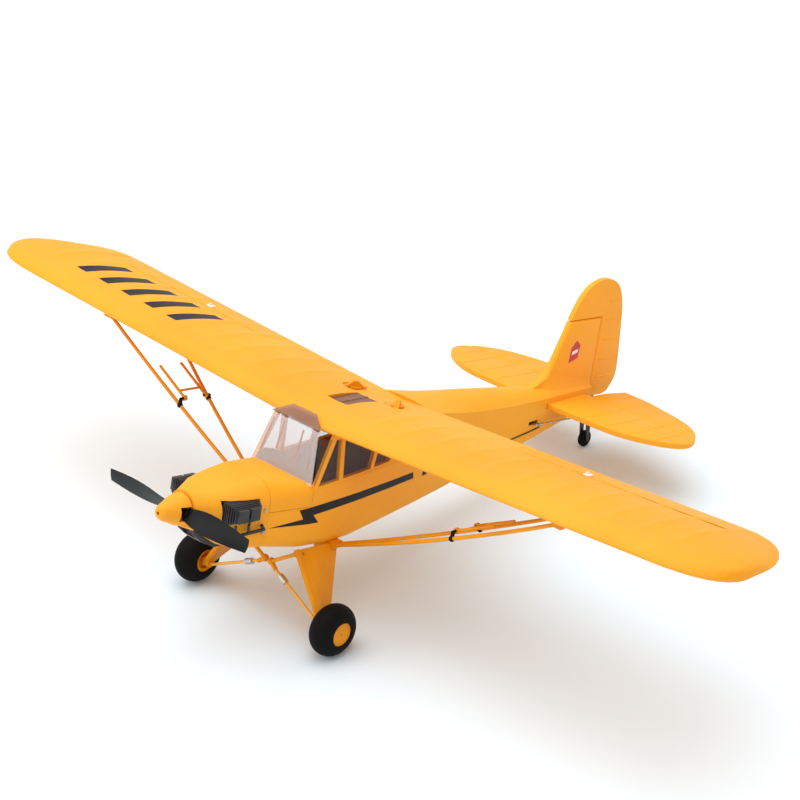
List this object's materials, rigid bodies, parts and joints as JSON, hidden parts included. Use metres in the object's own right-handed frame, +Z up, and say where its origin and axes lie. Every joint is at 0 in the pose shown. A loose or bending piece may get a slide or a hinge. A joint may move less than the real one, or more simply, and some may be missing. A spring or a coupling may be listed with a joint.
{
  "type": "rc foam airplane",
  "caption": "Yellow foam radio-controlled high-wing monoplane with strut-braced wing, two-blade propeller and tailwheel undercarriage.",
  "frame": {"origin": "on the ground under the middle of the standing aeroplane's bounding box", "axes": "+Z up from the ground, -Y towards the nose, +X towards the aeroplane's left wing tip; it stands on its three wheels, nose up 13.25 degrees"},
  "size_m": [0.65, 0.4366, 0.148],
  "materials": {
    "foam": "matte",
    "yellow_plastic": "satin",
    "painted_wire": "satin",
    "black_plastic": "satin",
    "white_plastic": "satin",
    "steel": "satin",
    "carbon_tube": "satin",
    "clear_screen": "gloss",
    "smoked_glazing": "gloss",
    "rust_frame": "matte",
    "red_interior": "matte",
    "seat_grey": "matte",
    "battery_wrap": "satin",
    "foam_tyre": "matte"
  },
  "bodies": {
    "airframe": {"fuselage_left": "foam", "fuselage_right": "foam", "wing_left": "foam", "wing_right": "foam", "stabiliser": "foam", "cowling": "foam", "gear_legs": "yellow_plastic", "cabane": "yellow_plastic", "wing_struts": "yellow_plastic", "shock_struts": "painted_wire", "cylinders": "black_plastic", "exhausts": "black_plastic", "air_scoop": "black_plastic", "servos": "black_plastic", "strut_fittings": "black_plastic", "wing_nut_plate": "black_plastic", "firewall": "black_plastic", "receiver_board": "black_plastic", "cowling_screws": "steel", "strut_clamps": "steel", "motor_stator": "steel", "wing_spar": "carbon_tube", "side_windows": "smoked_glazing", "roof_windows": "smoked_glazing", "cockpit_tub": "red_interior", "seats": "seat_grey", "battery": "battery_wrap"},
    "propeller": {"motor_bell": "steel", "propeller": "black_plastic", "spinner": "yellow_plastic"},
    "wheel_left": {"tyre_left": "foam_tyre", "hub_left": "yellow_plastic"},
    "wheel_right": {"tyre_right": "foam_tyre", "hub_right": "yellow_plastic"},
    "aileron_left": {"aileron_left": "foam", "aileron_horn_left": "white_plastic"},
    "aileron_right": {"aileron_right": "foam", "aileron_horn_right": "white_plastic"},
    "elevator": {"elevators": "foam", "elevator_joiner": "white_plastic"},
    "rudder": {"rudder": "foam", "tail_bracket": "black_plastic"},
    "tailwheel": {"tailwheel": "foam_tyre"},
    "elevator_arm": {"elevator_arm": "black_plastic"},
    "rudder_arm": {"rudder_arm": "black_plastic"},
    "aileron_arm_left": {"aileron_arm_left": "black_plastic"},
    "aileron_arm_right": {"aileron_arm_right": "black_plastic"},
    "elevator_pushrod": {"elevator_pushrod": "steel"},
    "rudder_pushrod": {"rudder_pushrod": "steel"},
    "aileron_pushrod_left": {"aileron_pushrod_left": "steel"},
    "aileron_pushrod_right": {"aileron_pushrod_right": "steel"},
    "nose_hatch": {"nose_hatch": "foam", "instrument_panel": "black_plastic", "windscreen": "clear_screen", "windscreen_frame": "rust_frame", "hatch_magnets": "steel"},
    "jury_left": {"jury_frame_left": "yellow_plastic"},
    "jury_right": {"jury_frame_right": "yellow_plastic"},
    "thumb_screw_left": {"thumb_screw_left": "yellow_plastic"},
    "thumb_screw_right": {"thumb_screw_right": "yellow_plastic"}
  },
  "joints": [
    {"name": "propeller_spin", "type": "hinge", "parent": "airframe", "child": "propeller", "pos_m": [0, -0.20259, 0.10699], "axis": [0, 0.9734, -0.2292], "continuous": true},
    {"name": "wheel_left_spin", "type": "hinge", "parent": "airframe", "child": "wheel_left", "pos_m": [0.0636, -0.13454, 0.0173], "axis": [1, 0, 0], "continuous": true},
    {"name": "wheel_right_spin", "type": "hinge", "parent": "airframe", "child": "wheel_right", "pos_m": [-0.0636, -0.13454, 0.0173], "axis": [1, 0, 0], "continuous": true},
    {"name": "aileron_left_hinge", "type": "hinge", "parent": "airframe", "child": "aileron_left", "pos_m": [0.17152, -0.02477, 0.1248], "axis": [0.9986, 0.012, 0.0509], "range_deg": [-20, 20]},
    {"name": "aileron_right_hinge", "type": "hinge", "parent": "airframe", "child": "aileron_right", "pos_m": [-0.17152, -0.02477, 0.1248], "axis": [0.9986, -0.012, -0.0509], "range_deg": [-20, 20]},
    {"name": "aileron_servo_left", "type": "hinge", "parent": "airframe", "child": "aileron_arm_left", "pos_m": [0.17167, -0.05072, 0.12804], "axis": [0.9986, 0.012, 0.0509], "range_deg": [-20, 20]},
    {"name": "aileron_servo_right", "type": "hinge", "parent": "airframe", "child": "aileron_arm_right", "pos_m": [-0.17167, -0.05072, 0.12804], "axis": [0.9986, -0.012, -0.0509], "range_deg": [-20, 20]},
    {"name": "aileron_rod_left", "type": "hinge", "parent": "aileron_arm_left", "child": "aileron_pushrod_left", "pos_m": [0.16691, -0.05353, 0.1161], "axis": [0.9986, 0.012, 0.0509], "range_deg": [-20, 20]},
    {"name": "aileron_rod_right", "type": "hinge", "parent": "aileron_arm_right", "child": "aileron_pushrod_right", "pos_m": [-0.16691, -0.05353, 0.1161], "axis": [0.9986, -0.012, -0.0509], "range_deg": [-20, 20]},
    {"name": "elevator_hinge", "type": "hinge", "parent": "airframe", "child": "elevator", "pos_m": [0, 0.1764, 0.04549], "axis": [1, 0, 0], "range_deg": [-25, 25]},
    {"name": "elevator_servo", "type": "hinge", "parent": "airframe", "child": "elevator_arm", "pos_m": [0.0099, 0.11411, 0.06015], "axis": [1, 0, 0], "range_deg": [-25, 25]},
    {"name": "elevator_rod", "type": "hinge", "parent": "elevator_arm", "child": "elevator_pushrod", "pos_m": [0.0152, 0.1117, 0.04993], "axis": [1, 0, 0], "range_deg": [-25, 25]},
    {"name": "rudder_hinge", "type": "hinge", "parent": "airframe", "child": "rudder", "pos_m": [0, 0.1882, 0.06069], "axis": [0, 0.2292, 0.9734], "range_deg": [-25, 25]},
    {"name": "rudder_servo", "type": "hinge", "parent": "airframe", "child": "rudder_arm", "pos_m": [-0.0075, 0.08364, 0.06168], "axis": [0, 0.2292, 0.9734], "range_deg": [-25, 25]},
    {"name": "rudder_rod", "type": "hinge", "parent": "rudder_arm", "child": "rudder_pushrod", "pos_m": [-0.017, 0.08392, 0.06284], "axis": [0, 0.2292, 0.9734], "range_deg": [-25, 25]},
    {"name": "tailwheel_spin", "type": "hinge", "parent": "rudder", "child": "tailwheel", "pos_m": [0, 0.18354, 0.006], "axis": [1, 0, 0], "continuous": true},
    {"name": "nose_hatch_lift", "type": "slide", "parent": "airframe", "child": "nose_hatch", "axis": [0, 0.2292, 0.9734], "range_m": [0, 0.03]},
    {"name": "jury_strut_left", "type": "hinge", "parent": "airframe", "child": "jury_left", "pos_m": [0.125, -0.08636, 0.09451], "axis": [0, -0.9734, 0.2292], "range_deg": [0, 55]},
    {"name": "jury_strut_right", "type": "hinge", "parent": "airframe", "child": "jury_right", "pos_m": [-0.125, -0.08636, 0.09451], "axis": [0, 0.9734, -0.2292], "range_deg": [0, 55]},
    {"name": "thumb_screw_left_turn", "type": "hinge", "parent": "airframe", "child": "thumb_screw_left", "pos_m": [0.0192, -0.03083, 0.12048], "axis": [0, 0.2292, 0.9734], "continuous": true},
    {"name": "thumb_screw_right_turn", "type": "hinge", "parent": "airframe", "child": "thumb_screw_right", "pos_m": [-0.0192, -0.03083, 0.12048], "axis": [0, 0.2292, 0.9734], "continuous": true}
  ],
  "couplings": [
    {"joint": "aileron_right_hinge", "follows": "aileron_left_hinge", "ratio": -1},
    {"joint": "aileron_servo_left", "follows": "aileron_left_hinge", "ratio": 1},
    {"joint": "aileron_servo_right", "follows": "aileron_left_hinge", "ratio": -1},
    {"joint": "aileron_rod_left", "follows": "aileron_left_hinge", "ratio": -1},
    {"joint": "aileron_rod_right", "follows": "aileron_left_hinge", "ratio": 1},
    {"joint": "elevator_servo", "follows": "elevator_hinge", "ratio": 1},
    {"joint": "elevator_rod", "follows": "elevator_hinge", "ratio": -1},
    {"joint": "rudder_servo", "follows": "rudder_hinge", "ratio": 1},
    {"joint": "rudder_rod", "follows": "rudder_hinge", "ratio": -1}
  ]
}
